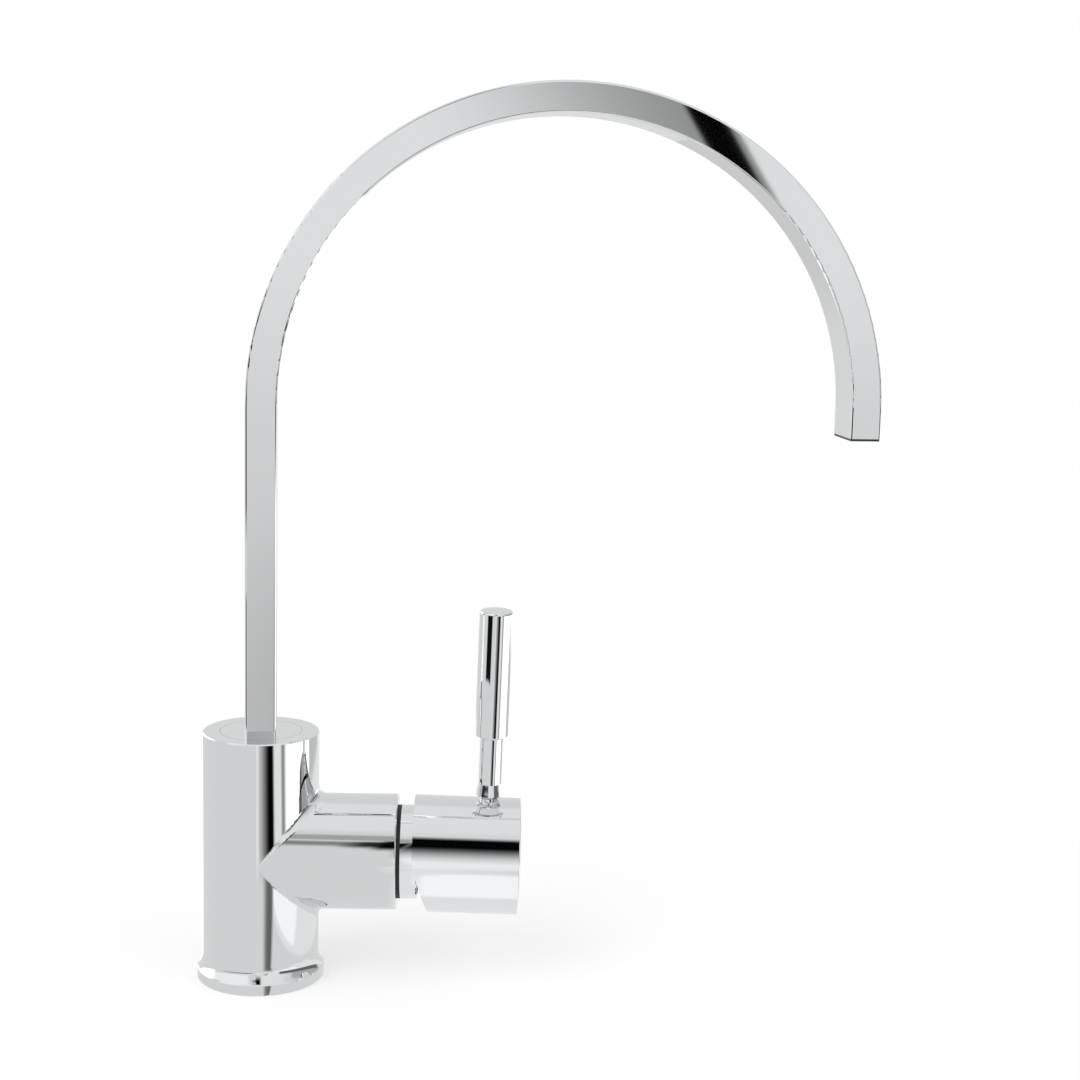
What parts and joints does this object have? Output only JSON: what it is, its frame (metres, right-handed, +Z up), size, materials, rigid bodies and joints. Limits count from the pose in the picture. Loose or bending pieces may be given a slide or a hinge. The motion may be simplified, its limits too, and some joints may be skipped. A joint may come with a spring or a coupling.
{
  "type": "kitchen mixer tap",
  "caption": "Chromed single-lever kitchen tap with a tall flat gooseneck spout that swivels and a side arm with a ceramic disc cartridge for hot, cold and filtered water.",
  "frame": {"origin": "centre of the base on the worktop", "axes": "+Z up; +X along the lever's side arm, to the right as pictured; +Y away from the viewer. The spout rests 5.65 degrees from +X towards +Y"},
  "size_m": [0.2745, 0.0626, 0.3632],
  "materials": {
    "chrome_body": "polished chromium plate on cast brass",
    "chrome_cover": "polished chromium plate on turned brass",
    "chrome_lever": "polished chromium plate on turned brass",
    "chrome_grip": "polished chromium plate on turned brass",
    "chrome_spout": "polished chromium plate on drawn flat brass tube",
    "plain_brass": "as machined",
    "stainless_steel": "as machined",
    "black_rubber": "moulded, matt",
    "white_ceramic": "lapped alumina",
    "white_plastic": "moulded acetal",
    "grey_plastic": "moulded, glass filled",
    "white_acetal": "turned acetal",
    "blue_tube": "extruded water pipe",
    "black_plastic": "moulded, fine grain"
  },
  "bodies": {
    "tap_base": {"tap_body": "chrome_body", "base_gasket": "black_rubber", "spout_retaining_screw": "stainless_steel", "filtered_feed_pipe": "plain_brass", "swivel_washer": "white_acetal", "cartridge_port_plate": "grey_plastic", "cartridge_port_seals": "black_rubber", "cartridge_fixed_disc": "white_ceramic", "cartridge_housing": "white_plastic", "cartridge_nut": "plain_brass", "cover_ring": "chrome_cover", "cover_ring_seal": "black_rubber"},
    "rotor": {"cartridge_rotor": "grey_plastic", "cartridge_rotor_seal": "black_rubber", "stem_pivot_pin": "stainless_steel"},
    "disc": {"cartridge_moving_disc": "white_ceramic", "cartridge_disc_carrier": "grey_plastic"},
    "lever": {"cartridge_stem": "plain_brass", "lever_hub": "chrome_lever", "hub_set_screw": "stainless_steel", "lever_rod": "chrome_lever", "lever_grip": "chrome_grip"},
    "spout": {"spout_tube": "chrome_spout", "spout_tailpiece": "chrome_spout", "spigot_o_ring_lower": "black_rubber", "spigot_o_ring_upper": "black_rubber", "feed_pipe_seal": "black_rubber", "filtered_inner_tube": "blue_tube", "outlet_insert": "black_plastic", "outlet_seal": "black_rubber", "stream_grid": "stainless_steel", "filtered_nozzle": "black_plastic"}
  },
  "joints": [
    {"name": "spout_swivel", "type": "hinge", "parent": "tap_base", "child": "spout", "pos_m": [0, 0, 0.1], "axis": [0, 0, 1], "continuous": true},
    {"name": "lever_turn", "type": "hinge", "parent": "tap_base", "child": "rotor", "pos_m": [0, 0, 0.0528], "axis": [1, 0, 0], "range_deg": [-51.5, 48.5]},
    {"name": "lever_tilt", "type": "hinge", "parent": "rotor", "child": "lever", "pos_m": [0.041, 0, 0.0528], "axis": [0, 0.9997, 0.0262], "range_deg": [-1.2, 16.8]},
    {"name": "disc_slide", "type": "slide", "parent": "rotor", "child": "disc", "axis": [0, -0.0262, 0.9997], "range_m": [-0.0003, 0.0028]}
  ],
  "couplings": [
    {"joint": "disc_slide", "follows": "lever_tilt", "m_per_rad": 0.0088}
  ]
}
